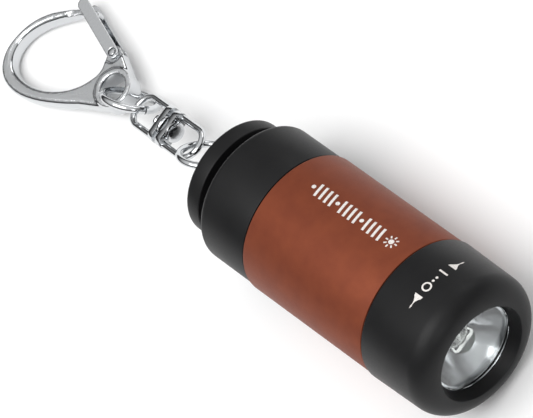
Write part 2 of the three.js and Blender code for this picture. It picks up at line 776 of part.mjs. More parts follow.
// Plan of the cast body, from the middle of the eye: the far side of the bow, the
// long arm, the eye end and the ear that the gate turns in.
const BODY_OUTSIDE = [
  [-17.0, 7.5], [-19.6, 5.9], [-22.2, 3.8], [-24.2, 1.0], [-25.2, -2.2], [-25.2, -5.3],
  [-23.9, -8.0], [-21.3, -9.8], [-17.5, -10.3], [-13.0, -9.4], [-8.2, -7.5], [-4.6, -5.7],
];
const BODY_INSIDE = [
  [-4.9, 1.2], [-5.6, -1.2], [-7.1, -3.4], [-9.3, -5.3], [-12.3, -6.9], [-15.7, -7.8],
  [-19.0, -7.8], [-21.6, -7.0], [-23.2, -5.3], [-23.7, -3.0], [-23.1, -0.4], [-21.4, 2.2],
  [-18.9, 4.6],
];
const HOOK_TIP = [-13.6, 8.25];
const HOOK_TIP_R = 0.7;
const HOOK_BEND = [-16.5, 6.55];  // where the inner edge turns towards the tip

function toVectors(points) {
  return points.map(([x, y]) => new THREE.Vector2(x, y));
}

function bodyOutline() {
  const [pivotX, pivotY] = CLASP_PIVOT;
  const [tipX, tipY] = HOOK_TIP;
  const outline = new THREE.Shape();
  outline.moveTo(tipX, tipY + HOOK_TIP_R);
  outline.splineThru(toVectors(BODY_OUTSIDE));
  outline.lineTo(CLASP_BOSS_R * Math.cos(-1.2), CLASP_BOSS_R * Math.sin(-1.2));
  outline.absarc(0, 0, CLASP_BOSS_R, -1.2, 0.95);
  outline.absarc(pivotX, pivotY, CLASP_EAR_R, 1.1, 3.5);
  outline.splineThru(toVectors(BODY_INSIDE));
  outline.lineTo(...HOOK_BEND);
  outline.absarc(tipX, tipY, HOOK_TIP_R, -Math.PI / 2, Math.PI / 2);
  return outline;
}

// The sector that the gate's cheeks pass through, about its pivot.
function gateSweep() {
  const [from, to] = GATE_SWEEP.map((angle) => THREE.MathUtils.degToRad(GATE_TURN + angle));
  const reach = GATE_LENGTH + FIT;
  const outline = new THREE.Shape();
  outline.moveTo(0, 0);
  outline.lineTo(reach * Math.cos(from), reach * Math.sin(from));
  outline.absarc(0, 0, reach, from, to);
  outline.closePath();
  return outline;
}

const HALF_TONGUE = CLASP_TONGUE / 2;
const HALF_GATE = HALF_TONGUE + FIT + GATE_SHEET;
const COIL_R = PIN_R + SNUG + GATE_SPRING_WIRE_R + 0.1;
const COIL_RISE = GATE_SPRING_TURNS * 2 * GATE_SPRING_WIRE_R + 0.1;

// The body is thinner where the gate's cheeks pass over it, at the hook's tip and
// round the ear, and the ear is slotted for the spring.
function claspBody() {
  const [pivotX, pivotY] = CLASP_PIVOT;
  const cast = plate(bodyOutline(), CLASP_THICKNESS, CLASP_EDGE, 3);
  const boss = disc(CLASP_BOSS_R, 2 * HALF_GATE, 0, 0, 32);
  const eye = disc(CLASP_EYE_R, 2 * HALF_GATE + 2, 0, 0);
  const reliefs = [];
  const depth = HALF_GATE;
  for (const side of [-1, 1]) {
    const middle = side * (HALF_TONGUE + depth / 2);
    const ear = disc(GATE_WIDTH / 2 + FIT + 0.5, depth, pivotX, pivotY);
    const sweep = plate(gateSweep(), depth).translate(pivotX, pivotY, 0);
    reliefs.push(ear.translate(0, 0, middle), sweep.translate(0, 0, middle));
  }
  const pinHole = disc(PIN_R + SNUG, CLASP_THICKNESS + 2, pivotX, pivotY, 20);
  const springRoom = COIL_RISE + 2 * GATE_SPRING_WIRE_R + 2 * SNUG;
  const slot = disc(COIL_R + GATE_SPRING_WIRE_R + 0.6, springRoom, pivotX, pivotY, 24);
  const thin = cut(cast, ...reliefs);
  return cut(join(thin, boss), eye, pinHole, slot);
}

// Folded sheet channel, open outwards: two cheeks and the web that faces the bow.
// It is built along +X from its pivot, and +Y faces the bow.
function gate() {
  const half = GATE_WIDTH / 2;
  const cheek = new THREE.Shape();
  cheek.absarc(0, 0, half, Math.PI / 2, Math.PI * 1.5);
  cheek.lineTo(GATE_LENGTH - half * 0.7, -half);
  cheek.absarc(GATE_LENGTH - half, 0, half, -Math.PI / 2.6, Math.PI / 2.6);
  cheek.lineTo(GATE_LENGTH - half * 0.7, half);
  cheek.closePath();
  const cheeks = [-1, 1].map((side) => plate(cheek, GATE_SHEET, 0, 8)
    .translate(0, 0, side * (HALF_GATE - GATE_SHEET / 2)));
  const webRoot = CLASP_EAR_R + FIT;
  const web = block(
    [webRoot, half - GATE_SHEET, -HALF_GATE + GATE_SHEET / 2],
    [GATE_LENGTH - GATE_WEB_END, half, HALF_GATE - GATE_SHEET / 2],
  );
  const pinHole = disc(PIN_R + SNUG, 2 * HALF_GATE + 2, 0, 0, 20);
  return cut(join(web, ...cheeks), pinHole);
}

function gatePin() {
  return disc(PIN_R, 2 * HALF_GATE, 0, 0, 20);
}

// Torsion spring: two turns round the pin, with one leg that lies inside the gate's web.
function gateSpring() {
  const coil = new Winding(COIL_R, 90 - 360 * GATE_SPRING_TURNS, 90, COIL_RISE);
  const points = coil.getPoints(10 * GATE_SPRING_TURNS);
  const top = COIL_RISE / 2;
  const legSide = GATE_WIDTH / 2 - GATE_SHEET - GATE_SPRING_WIRE_R - 0.1;
  points.push(new THREE.Vector3(COIL_R, COIL_R * 0.8, top));
  points.push(new THREE.Vector3(CLASP_EAR_R + 0.2, legSide, top));
  points.push(new THREE.Vector3(CLASP_EAR_R + 2.7, legSide, top));
  const path = new THREE.CatmullRomCurve3(points);
  return roundWire(path, GATE_SPRING_WIRE_R, 32, 5);
}

// ---------------------------------------------------------------- assembly

const torch = new THREE.Group();
torch.add(
  piece('head_shell', headShell(), blackPlastic),
  piece('lens', lens(), clearPlastic),
  piece('lens_seal', lensSeal(), rubber),
  piece('reflector', reflector(), mirror),
  piece('led', led(), clearPlastic),
  piece('led_board', ledBoard(), boardGreen),
  piece('led_contact', ledPin(), brass),
  piece('sleeve', sleeve(), brownAluminium),
  piece('core', core(), blackPlastic),
  piece('neck_o_ring', neckRing(), rubber),
  piece('battery', battery(), cellWrap),
  piece('battery_spring', batterySpring(), steel),
  piece('charge_board', chargeBoard(), boardGreen),
  piece('charge_chip', chargeChip(), blackPlastic),
  piece('rear_bulkhead', rearBulkhead(), blackPlastic),
  piece('tail_o_ring', tailRing(), rubber),
  piece('charge_lamp', chargeLamp(), clearPlastic),
  piece('usb_shell', usbShell(), steel),
  piece('usb_tongue', usbTongue(), whitePlastic),
  piece('tail_cap', tailCap(), blackPlastic),
);
for (let number = 0; number < 4; number++) {
  torch.add(piece(`usb_contact_${number + 1}`, usbContact(number), brass));
}

// The chain slopes down from the lug until the link ring stands on the floor.
const linkMiddle = LINK_NEAR + LINK_RING_R;
const linkTurn = THREE.MathUtils.degToRad(LINK_RING_TURN);
let slope = 0;
for (let round = 0; round < 20; round++) {
  const across = LINK_RING_R * Math.sin(linkTurn) * Math.cos(slope);
  const along = LINK_RING_R * Math.sin(slope);
  const reach = Math.hypot(across, along) + LINK_WIRE_R;
  slope = Math.asin((HEAD_R - reach) / linkMiddle);
}

const chain = new THREE.Group();
chain.position.set(LUG_WIRE, 0, 0);
chain.rotation.y = -slope;
chain.add(
  piece('jump_ring', jumpRing(), chrome),
  piece('swivel_front_loop', swivelFrontLoop(), chrome),
  piece('swivel_rivet', swivelRivet(), chrome),
  piece('swivel_washer', swivelWasher(), chrome),
  piece('swivel_rear_loop', swivelRearLoop(), chrome),
  piece('link_ring', linkRing(), chrome),
);

const clasp = new THREE.Group();
// The clasp hangs in the ring by its eye and leans down until its bow touches the floor.
const eyeStation = LINK_FAR - CLASP_EYE_OFFSET;
const eyeDrop = eyeStation * Math.sin(slope);
const bowReach = -Math.min(...BODY_OUTSIDE.map(([x]) => x));
const lean = Math.asin((HEAD_R - eyeDrop - CLASP_THICKNESS / 2) / bowReach);
clasp.position.set(LUG_WIRE - eyeStation * Math.cos(slope), 0, -eyeDrop);
clasp.rotation.y = -lean;
clasp.add(piece('clasp_body', claspBody(), chrome));

const gateGroup = new THREE.Group();
gateGroup.position.set(...CLASP_PIVOT, 0);
gateGroup.rotation.z = THREE.MathUtils.degToRad(GATE_TURN);
gateGroup.add(
  piece('gate', gate(), chrome),
  piece('gate_pin', gatePin(), chrome),
  piece('gate_spring', gateSpring(), steel),
);
clasp.add(gateGroup);

// The whole stands on Z = 0 under the head's rear edge, centred along X.
const flashlight = new THREE.Group();
flashlight.add(torch, chain, clasp);
const span = new THREE.Box3().setFromObject(flashlight, true);
flashlight.position.set(-(span.min.x + span.max.x) / 2, 0, HEAD_R);

export default flashlight;
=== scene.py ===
"""Keychain flashlight: a twist-head torch with a plug under its tail cap, on a short chain.

Each piece is shaped in millimetres about its own axis and then put in its place in the frame.
"""

import math

import bpy
from mathutils import Matrix, Vector


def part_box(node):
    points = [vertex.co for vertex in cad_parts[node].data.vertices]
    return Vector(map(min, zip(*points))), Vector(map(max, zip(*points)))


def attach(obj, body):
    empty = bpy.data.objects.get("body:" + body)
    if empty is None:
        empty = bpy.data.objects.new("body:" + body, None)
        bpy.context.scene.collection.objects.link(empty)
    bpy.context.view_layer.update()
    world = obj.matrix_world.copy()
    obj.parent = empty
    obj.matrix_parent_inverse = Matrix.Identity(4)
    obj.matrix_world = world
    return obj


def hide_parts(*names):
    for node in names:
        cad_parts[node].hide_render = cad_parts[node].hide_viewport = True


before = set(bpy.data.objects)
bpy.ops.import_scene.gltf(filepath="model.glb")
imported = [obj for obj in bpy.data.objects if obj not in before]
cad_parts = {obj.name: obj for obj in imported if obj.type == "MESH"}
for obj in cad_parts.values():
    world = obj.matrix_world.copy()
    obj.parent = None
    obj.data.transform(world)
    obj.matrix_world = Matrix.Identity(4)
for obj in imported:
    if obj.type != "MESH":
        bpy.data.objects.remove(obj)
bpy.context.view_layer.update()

# ------------------------------------------------------------------ places and sizes

MM = 0.001
HAIR = 0.002            # mm, points closer than this are one
SMOOTH_UNDER = math.radians(32)     # faces that meet at less look like one curved face
CRISP_OVER = math.radians(20)       # the same for small solids with broken edges
EDGE_OVER = math.radians(35)        # faces that meet at more have their edge broken


def middle(node):
    low, high = (Vector(corner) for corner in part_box(node))
    return (low + high) / 2


def lows(node):
    return Vector(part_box(node)[0])


def highs(node):
    return Vector(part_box(node)[1])


SEAM = highs("sleeve").x                     # sleeve meets head
AXIS_HEIGHT = middle("sleeve").z
TORCH = Matrix.Translation((SEAM, 0, AXIS_HEIGHT)) @ Matrix.Scale(MM, 4)


def station(x):
    """Millimetres along the torch from the seam, positive towards the lens."""
    return (x - SEAM) / MM


def across(node):
    """Outer radius in millimetres of a round piece on the torch's axis."""
    return (highs(node).y - lows(node).y) / 2 / MM


GAP = 0.3
SLEEVE_R = across("sleeve")
SLEEVE_WALL = 1.2
SLEEVE_REAR = station(lows("sleeve").x)
HEAD_R = across("head_shell")
HEAD_REAR = station(lows("head_shell").x)
HEAD_FRONT = station(highs("head_shell").x)
HEAD_BORE_R = HEAD_R - 2.2
LENS_R = across("lens")
LENS_FRONT = station(highs("lens").x)
LENS_REAR = station(lows("lens").x)
LENS_BORE_R = LENS_R + 0.15
RIM_INNER_R = LENS_BORE_R + 0.66
RIM_OUTER_R = RIM_INNER_R + 0.46
BOWL_FRONT = station(highs("reflector").x)
BOWL_REAR = station(lows("reflector").x)
BOWL_MOUTH_R = 7.1
BOWL_HOLE_R = 3.0
BOWL_DEPTH = 4.8
FLANGE_R = across("reflector")
SHOULDER = BOWL_FRONT - 1.1
LED_FRONT = station(highs("led").x)
LED_REAR = station(lows("led").x)
LED_R = 2.5
CAP_R = across("tail_cap")
CAP_FRONT = station(highs("tail_cap").x)
CAP_GROOVE = CAP_FRONT - 10.95
CAP_DISC = CAP_GROOVE - 2.2
CAP_REAR = CAP_DISC - 3.2
CAP_MOUTH_R = CAP_R - 2.0
PLUG_ROOM_R = 6.86
GROOVE_R = PLUG_ROOM_R + 1.6
DISC_R = GROOVE_R + 1.8
LUG_REACH = 3.15
LUG_R = 2.35
LUG_HOLE_R = 1.55
LUG_THICKNESS = 2.2
LUG_TURN = math.radians(48)

# The chain runs in one straight line from the jump ring's middle to the link ring's.
CHAIN_START = middle("jump_ring")
CHAIN_WAY = (middle("link_ring") - CHAIN_START).normalized()
HUB = middle("swivel_washer")
JUMP_RING_R = 4.45
JUMP_WIRE_R = 0.6
LINK_RING_R = 4.6
LINK_WIRE_R = 0.7
LINK_RING_TURN = math.radians(-60)
LOOP_WIDTH = 5.4
LOOP_WIRE_R = 0.58
LOOP_LENGTH = 9.95
HUB_GAP = 0.55
CROSS_PLATE = 1.3
CROSS_HEIGHT = 2.6
RIVET_R = 0.7


def chain_place(point):
    """Local +X runs back up the chain to the torch, and local Y is level."""
    back = -CHAIN_WAY
    level = Vector((0, 1, 0))
    turn = Matrix((back, level, back.cross(level))).transposed().to_4x4()
    return Matrix.Translation(point) @ turn @ Matrix.Scale(MM, 4)


# ------------------------------------------------------------------ camera

PICTURE_ELEVATION = math.radians(53.8)      # above the surface, in front of the lens
PICTURE_ROLL = math.radians(54.1)           # turns the torch's axis down to the right
PICTURE_DISTANCE = 0.9375
PICTURE_OFFSET = (0.02402, 0.01572)         # seam to the middle of the view
PICTURE_LENS = 405.25


def add_camera():
    data = bpy.data.cameras.new("camera")
    data.lens = PICTURE_LENS
    data.sensor_width = 36
    data.clip_end = 10
    camera = bpy.data.objects.new("camera", data)
    bpy.context.scene.collection.objects.link(camera)
    rise, run = math.sin(PICTURE_ELEVATION), math.cos(PICTURE_ELEVATION)
    back = Vector((run, 0, rise))
    level, upright = Vector((0, 1, 0)), Vector((-rise, 0, run))
    right = level * math.cos(PICTURE_ROLL) - upright * math.sin(PICTURE_ROLL)
    up = level * math.sin(PICTURE_ROLL) + upright * math.cos(PICTURE_ROLL)
    turn = Matrix((right, up, back)).transposed().to_4x4()
    seam = Vector((SEAM, 0, AXIS_HEIGHT))
    aim = seam - right * PICTURE_OFFSET[0] + up * PICTURE_OFFSET[1]
    camera.matrix_world = Matrix.Translation(aim + back * PICTURE_DISTANCE) @ turn
    bpy.context.scene.camera = camera


add_camera()

# ------------------------------------------------------------------ materials


def shade(hex_colour):
    """sRGB hex to the linear colour that a socket takes."""
    values = [int(hex_colour[i:i + 2], 16) / 255 for i in (1, 3, 5)]
    linear = [v / 12.92 if v <= 0.04045 else ((v + 0.055) / 1.055) ** 2.4 for v in values]
    return (*linear, 1)


def add_node(material, kind, settings=(), links=()):
    """A node with its settings, and its inputs linked from (node, output) pairs."""
    node = material.node_tree.nodes.new(kind)
    for name, value in dict(settings).items():
        if name in node.inputs:
            node.inputs[name].default_value = value
        else:
            setattr(node, name, value)
    for name, (source, output) in dict(links).items():
        material.node_tree.links.new(source.outputs[output], node.inputs[name])
    return node


def start_material(name, sockets):
    """A material whose surface shader has these values on its own sockets."""
    material = bpy.data.materials.new(name)
    material.use_nodes = True
    surface = material.node_tree.nodes["Principled BSDF"]
    for socket, value in sockets.items():
        surface.inputs[socket].default_value = value
    return material, surface


def connect(material, source, output, node, socket):
    material.node_tree.links.new(source.outputs[output], node.inputs[socket])


def grain(material, size_mm, detail=3.0, stretch=(1, 1, 1)):
    """Noise whose grains are about this wide, on the piece's own coordinates."""
    place = add_node(material, "ShaderNodeTexCoord")
    spread = add_node(material, "ShaderNodeMapping", {"Scale": stretch}, {"Vector": (place, "Object")})
    return add_node(
        material, "ShaderNodeTexNoise", {"Scale": 1 / (size_mm * MM), "Detail": detail},
        {"Vector": (spread, "Vector")},
    )


def vary_colour(material, surface, pattern, first, second, low, high):
    """A base colour that goes from first to second where the pattern goes from low to high."""
    ramp = add_node(material, "ShaderNodeValToRGB", {}, {"Fac": (pattern, "Fac")})
    ramp.color_ramp.elements[0].position = low
    ramp.color_ramp.elements[0].color = shade(first)
    ramp.color_ramp.elements[1].position = high
    ramp.color_ramp.elements[1].color = shade(second)
    connect(material, ramp, "Color", surface, "Base Color")


def vary_gloss(material, surface, pattern, low, high):
    """A roughness between low and high, following the pattern."""
    spread = add_node(
        material, "ShaderNodeMapRange",
        {"From Min": 0.3, "From Max": 0.7, "To Min": low, "To Max": high},
        {"Value": (pattern, "Fac")},
    )
    connect(material, spread, "Result", surface, "Roughness")


def raise_grain(material, surface, pattern, height_mm, strength=1.0):
    bump = add_node(
        material, "ShaderNodeBump", {"Distance": height_mm * MM, "Strength": strength},
        {"Height": (pattern, "Fac")},
    )
    connect(material, bump, "Normal", surface, "Normal")
    return bump


def moulded_abs():
    """Black ABS from a spark-eroded mould: a fine even tooth that spreads the highlight."""
    material, surface = start_material("moulded_abs_black", {"IOR": 1.54, "Specular IOR Level": 0.2})
    tooth = grain(material, 0.16, 2.0)
    cloud = grain(material, 5.0, 2.0)
    vary_colour(material, surface, cloud, "#121213", "#171718", 0.3, 0.7)
    vary_gloss(material, surface, tooth, 0.40, 0.50)
    raise_grain(material, surface, tooth, 0.006)
    return material


def anodised_aluminium():
    """Bead-blasted and dyed brown: matt, with a soft metal sheen and faint dye clouds."""
    material, surface = start_material(
        "anodised_aluminium_brown", {"Metallic": 0.35, "Specular IOR Level": 0.12}
    )
    blasting = grain(material, 0.12, 2.0)
    dye = grain(material, 3.0, 3.0)
    vary_colour(material, surface, dye, "#7b3f2c", "#84452f", 0.3, 0.7)
    vary_gloss(material, surface, blasting, 0.44, 0.56)
    raise_grain(material, surface, blasting, 0.005)
    return material


def printing_ink():
    """Screen-printed off-white ink: slightly uneven and thin where the metal grain shows."""
    material, surface = start_material("screen_ink_white", {"Roughness": 0.55})
    weave = grain(material, 0.14, 2.0)
    vary_colour(material, surface, weave, "#c9c2bd", "#efebe7", 0.32, 0.6)
    return material


def clear_polycarbonate():
    """Injection-moulded clear window with a polished face."""
    material, surface = start_material(
        "clear_polycarbonate", {"IOR": 1.45, "Transmission Weight": 1.0, "Base Color": shade("#f7fafb")}
    )
    haze = grain(material, 1.5, 2.0)
    vary_gloss(material, surface, haze, 0.0, 0.02)
    return material


def clear_epoxy():
    """Cast epoxy dome of the lamp: clear, with a faint warm cast."""
    material, surface = start_material(
        "cast_epoxy_clear", {"IOR": 1.5, "Transmission Weight": 1.0, "Base Color": shade("#f6f6f0")}
    )
    haze = grain(material, 0.8, 2.0)
    vary_gloss(material, surface, haze, 0.0, 0.04)
    return material


def metallised_bowl():
    """Vacuum-metallised plastic: a bright mirror with a slight orange-peel wave."""
    material, surface = start_material(
        "metallised_bowl", {"Metallic": 1.0, "Base Color": shade("#d6d7d8")}
    )
    wave = grain(material, 2.2, 1.0)
    vary_gloss(material, surface, wave, 0.16, 0.26)
    raise_grain(material, surface, wave, 0.09)
    return material


def chrome_plate():
    """Polished wire under bright chrome: a cold mirror, faintly uneven."""
    material, surface = start_material("chrome_plate", {"Metallic": 1.0, "Base Color": shade("#d2d4d6")})
    waver = grain(material, 0.5, 3.0)
    vary_gloss(material, surface, waver, 0.06, 0.14)
    raise_grain(material, surface, waver, 0.008)
    return material


def cast_chrome():
    """Zinc casting under chrome: edges polished, the flat faces left lightly pitted."""
    material, surface = start_material(
        "chromed_zinc_casting", {"Metallic": 1.0, "Base Color": shade("#cfd1d3")}
    )
    pits = grain(material, 0.3, 3.0)
    place = add_node(material, "ShaderNodeTexCoord")
    facing = add_node(material, "ShaderNodeSeparateXYZ", {}, {"Vector": (place, "Normal")})
    upright = add_node(material, "ShaderNodeMath", {"operation": "ABSOLUTE"}, {0: (facing, "Z")})
    flat = add_node(
        material, "ShaderNodeMapRange",
        {"From Min": 0.93, "From Max": 0.99, "To Min": 0.0, "To Max": 1.0},
        {"Value": (upright, "Value")},
    )
    gloss = add_node(
        material, "ShaderNodeMapRange", {"To Min": 0.08, "To Max": 0.3}, {"Value": (flat, "Result")}
    )
    connect(material, gloss, "Result", surface, "Roughness")
    bump = raise_grain(material, surface, pits, 0.12)
    connect(material, flat, "Result", bump, "Strength")
    return material


def nickel_steel():
    """Nickel-plated sheet and spring wire: bright, faintly streaked from rolling."""
    material, surface = start_material("nickel_steel", {"Metallic": 1.0, "Base Color": shade("#b9bab9")})
    streaks = grain(material, 0.25, 3.0, (0.1, 1, 1))
    vary_gloss(material, surface, streaks, 0.2, 0.34)
    raise_grain(material, surface, streaks, 0.004)
    return material


def gold_flash():
    """Gold-flashed contacts: warm, smooth and slightly worn."""
    material, surface = start_material("gold_flash", {"Metallic": 1.0})
    wear = grain(material, 0.6, 3.0)
    vary_colour(material, surface, wear, "#c8a04a", "#e0bd6a", 0.35, 0.65)
    vary_gloss(material, surface, wear, 0.18, 0.3)
    return material


def nitrile_rubber():
    """Black nitrile seal: dull, with a trace of grease."""
    material, surface = start_material("nitrile_rubber", {"Base Color": shade("#161616")})
    film = grain(material, 0.7, 2.0)
    vary_gloss(material, surface, film, 0.45, 0.7)
    raise_grain(material, surface, film, 0.01)
    return material


def solder_mask():
    """Green solder mask, lighter in patches where copper lies under it."""
    material, surface = start_material("solder_mask_green", {"Roughness": 0.35})
    copper = grain(material, 0.9, 1.0)
    vary_colour(material, surface, copper, "#14482c", "#1f6a40", 0.48, 0.52)
    raise_grain(material, surface, copper, 0.02)
    return material


def shrink_film():
    """Blue heat-shrunk film on the cell: glossy, with slight puckers."""
    material, surface = start_material("shrink_film_blue", {"Base Color": shade("#2d5fa6")})
    pucker = grain(material, 1.6, 2.0, (0.4, 1, 1))
    vary_gloss(material, surface, pucker, 0.22, 0.36)
    raise_grain(material, surface, pucker, 0.03)
    return material


def white_nylon():
    """White moulded nylon of the plug's tongue."""
    material, surface = start_material("white_nylon", {"Base Color": shade("#e4e3dd")})
    tooth = grain(material, 0.2, 2.0)
    vary_gloss(material, surface, tooth, 0.42, 0.54)
    raise_grain(material, surface, tooth, 0.006)
    return material


def phosphor():
    """Yellow phosphor gel over the lamp's chip."""
    material, surface = start_material("phosphor_gel", {"Roughness": 0.4})
    grains = grain(material, 0.1, 2.0)
    vary_colour(material, surface, grains, "#e6d873", "#f4ecab", 0.35, 0.65)
    return material


ABS = moulded_abs()
ALUMINIUM = anodised_aluminium()
INK = printing_ink()
POLYCARBONATE = clear_polycarbonate()
EPOXY = clear_epoxy()
BOWL = metallised_bowl()
CHROME = chrome_plate()
CASTING = cast_chrome()
NICKEL = nickel_steel()
GOLD = gold_flash()
RUBBER = nitrile_rubber()
BOARD = solder_mask()
FILM = shrink_film()
NYLON = white_nylon()
PHOSPHOR = phosphor()

# ------------------------------------------------------------------ making pieces


def begin_edit():
    bpy.ops.object.mode_set(mode="EDIT")
    bpy.ops.mesh.select_all(action="SELECT")


def close_skin():
    """Shared corners merged and the faces turned outwards, back in object mode."""
    bpy.ops.mesh.select_all(action="SELECT")
    bpy.ops.mesh.remove_doubles(threshold=HAIR)
    bpy.ops.mesh.normals_make_consistent(inside=False)
    bpy.ops.object.mode_set(mode="OBJECT")


def put(piece, place, name, material, body, slot, *stands_for):
    """The finished piece in its place: named, smooth, with its finish, on its body."""
    bpy.ops.object.select_all(action="DESELECT")
    piece.select_set(True)
    bpy.context.view_layer.objects.active = piece
    piece.matrix_world = place @ piece.matrix_world
    bpy.ops.object.transform_apply(location=True, rotation=True, scale=True)
    bpy.ops.object.shade_smooth_by_angle(angle=SMOOTH_UNDER)
    piece.name = name
    piece.data.materials.clear()
    piece.data.materials.append(material)
    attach(piece, body)
    if stands_for:
        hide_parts(*stands_for)
    return piece


def arc(station_middle, radius_middle, radius, start, stop, steps):
    """Points of a round corner on a turned outline; 0 faces the lens, 90 faces outwards."""
    angles = [math.radians(start + (stop - start) * i / steps) for i in range(steps + 1)]
    return [
        (station_middle + radius * math.cos(a), radius_middle + radius * math.sin(a)) for a in angles
    ]


def turned(outline, sides=128, bored=True):
    """A circle drawn out from station to station along X; a bored outline ends where it began."""
    bpy.ops.object.select_all(action="DESELECT")
    here, radius = outline[0]
    bpy.ops.mesh.primitive_circle_add(
        vertices=sides, radius=radius, fill_type="NOTHING" if bored else "NGON",
        location=(here, 0, 0), rotation=(0, math.pi / 2, 0),
    )
    piece = bpy.context.object
    begin_edit()
    for there, wide in outline[1:] + (outline[:1] if bored else []):
        bpy.ops.mesh.extrude_region_move(TRANSFORM_OT_translate={"value": (there - here, 0, 0)})
        ratio = wide / radius
        bpy.ops.transform.resize(value=(1, ratio, ratio), center_override=(there, 0, 0))
        here, radius = there, wide
    close_skin()
    return piece


def apply_modifier(piece, kind, **settings):
    bpy.context.view_layer.objects.active = piece
    modifier = piece.modifiers.new(kind.lower(), kind)
    for name, value in settings.items():
        setattr(modifier, name, value)
    bpy.ops.object.modifier_apply(modifier=modifier.name)


def rounded(piece, width, segments=3):
    apply_modifier(piece, "BEVEL", width=width, segments=segments, limit_method="ANGLE",
                   angle_limit=EDGE_OVER)


def cut_out(piece, tool):
    apply_modifier(piece, "BOOLEAN", operation="DIFFERENCE", object=tool, solver="EXACT")
    bpy.data.objects.remove(tool)


def join_to(piece, part):
    apply_modifier(piece, "BOOLEAN", operation="UNION", object=part, solver="EXACT")
    bpy.data.objects.remove(part)


def round_bar(radius, length, middle_point, sides=48, rotation=(0, 0, 0)):
    bpy.ops.object.select_all(action="DESELECT")
    bpy.ops.mesh.primitive_cylinder_add(
        vertices=sides, radius=radius, depth=length, location=middle_point, rotation=rotation
    )
    return bpy.context.object


def copied(node):
    """The node's own solid as a new piece in millimetres, its loose triangles merged."""
    bpy.ops.object.select_all(action="DESELECT")
    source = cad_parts[node]
    piece = bpy.data.objects.new(node + "_copy", source.data.copy())
    bpy.context.scene.collection.objects.link(piece)
    piece.select_set(True)
    bpy.context.view_layer.objects.active = piece
    piece.matrix_world = Matrix.Scale(1 / MM, 4)
    bpy.ops.object.transform_apply(location=True, rotation=True, scale=True)
    begin_edit()
    close_skin()
    return piece


def refined(node, name, material, body, slot, edge=0.08):
    """A small hard-edged solid with its flat faces joined and its edges broken."""
    piece = copied(node)
    begin_edit()
    bpy.ops.mesh.dissolve_limited(angle_limit=math.radians(2))
    bpy.ops.object.mode_set(mode="OBJECT")
    rounded(piece, edge, 2)
    piece = put(piece, Matrix.Scale(MM, 4), name, material, body, slot, node)
    bpy.ops.object.shade_smooth_by_angle(angle=CRISP_OVER)
    return piece


def softened(node, name, material, body, slot, voxel, passes):
    """A cast or folded solid whose corners have run smooth."""
    piece = copied(node)
    apply_modifier(piece, "REMESH", mode="VOXEL", voxel_size=voxel, adaptivity=0)
    apply_modifier(piece, "SMOOTH", factor=0.5, iterations=passes)
    piece = put(piece, Matrix.Scale(MM, 4), name, material, body, slot, node)
    bpy.ops.object.shade_smooth()
    return piece


# ------------------------------------------------------------------ torch: head


def head_housing():
    fillet = SLEEVE_R - RIM_OUTER_R
    land = 0.16
    outline = [
        *arc(HEAD_REAR + 0.15, HEAD_R - 0.15, 0.15, 180, 90, 3),
        *arc(HEAD_FRONT - fillet, RIM_OUTER_R, fillet, 90, 0, 20),
        *arc(HEAD_FRONT - land, RIM_INNER_R + land, land, 0, -90, 4),
        (LENS_FRONT + 0.1, LENS_BORE_R + 0.04), (LENS_FRONT, LENS_BORE_R),
        (SHOULDER, LENS_BORE_R), (SHOULDER, FLANGE_R + GAP),
        (HEAD_REAR + 4.6, FLANGE_R + GAP), (HEAD_REAR + 4.6, HEAD_BORE_R),
        *arc(HEAD_REAR + 0.15, HEAD_BORE_R + 0.15, 0.15, 270, 180, 3)[:-1],
        (HEAD_REAR, HEAD_BORE_R + 0.15),
    ]
    return put(
        turned(outline, 160), TORCH, "head_housing", ABS, "head", "black_plastic", "head_shell"
    )


def lens_window():
    edge = 0.12
    outline = [
        (LENS_REAR, LENS_R - edge), (LENS_REAR + edge, LENS_R),
        *arc(LENS_FRONT - edge, LENS_R - edge, edge, 90, 0, 4),
    ]
    return put(
        turned(outline, 128, bored=False), TORCH, "lens_window", POLYCARBONATE, "head", "clear_lens", "lens"
    )


def reflector_bowl():
    """Paraboloid with a stepped lamp hole, on a flange that the head clamps."""
    gain = (BOWL_MOUTH_R ** 2 - BOWL_HOLE_R ** 2) / BOWL_DEPTH
    vertex = BOWL_FRONT - BOWL_MOUTH_R ** 2 / gain
    steps = 18
    radii = [BOWL_MOUTH_R + (BOWL_HOLE_R - BOWL_MOUTH_R) * i / steps for i in range(steps + 1)]
    inner = [(vertex + r * r / gain, r) for r in radii]
    wall_back, wall_out = 0.25, 0.45
    outer = [(x - wall_back, r + wall_out) for x, r in reversed(inner[4:])]
    lip = 0.5
    flange_front = SHOULDER - lip
    flange_rear = flange_front - 0.7
    outline = [
        *inner,
        (BOWL_REAR, BOWL_HOLE_R), (BOWL_REAR, outer[0][1]), *outer,
        (flange_rear, outer[-1][1] + 0.2), (flange_rear, FLANGE_R),
        (flange_front, FLANGE_R), (flange_front, BOWL_MOUTH_R + lip),
        (BOWL_FRONT - 0.1, BOWL_MOUTH_R + lip), (BOWL_FRONT, BOWL_MOUTH_R + lip - 0.1),
    ]
    return put(
        turned(outline, 128), TORCH, "reflector_bowl", BOWL, "head", "reflector_mirror", "reflector"
    )


def led_dome():
    dome = LED_FRONT - LED_R
    foot, foot_r, break_edge = 0.8, 2.85, 0.1
    outline = [
        (LED_REAR, foot_r - break_edge), (LED_REAR + break_edge, foot_r),
        (LED_REAR + foot - break_edge, foot_r), (LED_REAR + foot, foot_r - break_edge),
        (LED_REAR + foot, LED_R), *arc(dome, 0, LED_R, 90, 4, 18),
    ]
    dome_piece = turned(outline, 64, bored=False)
    return put(dome_piece, TORCH, "led_dome", EPOXY, "lamp_module", "led_dome", "led")


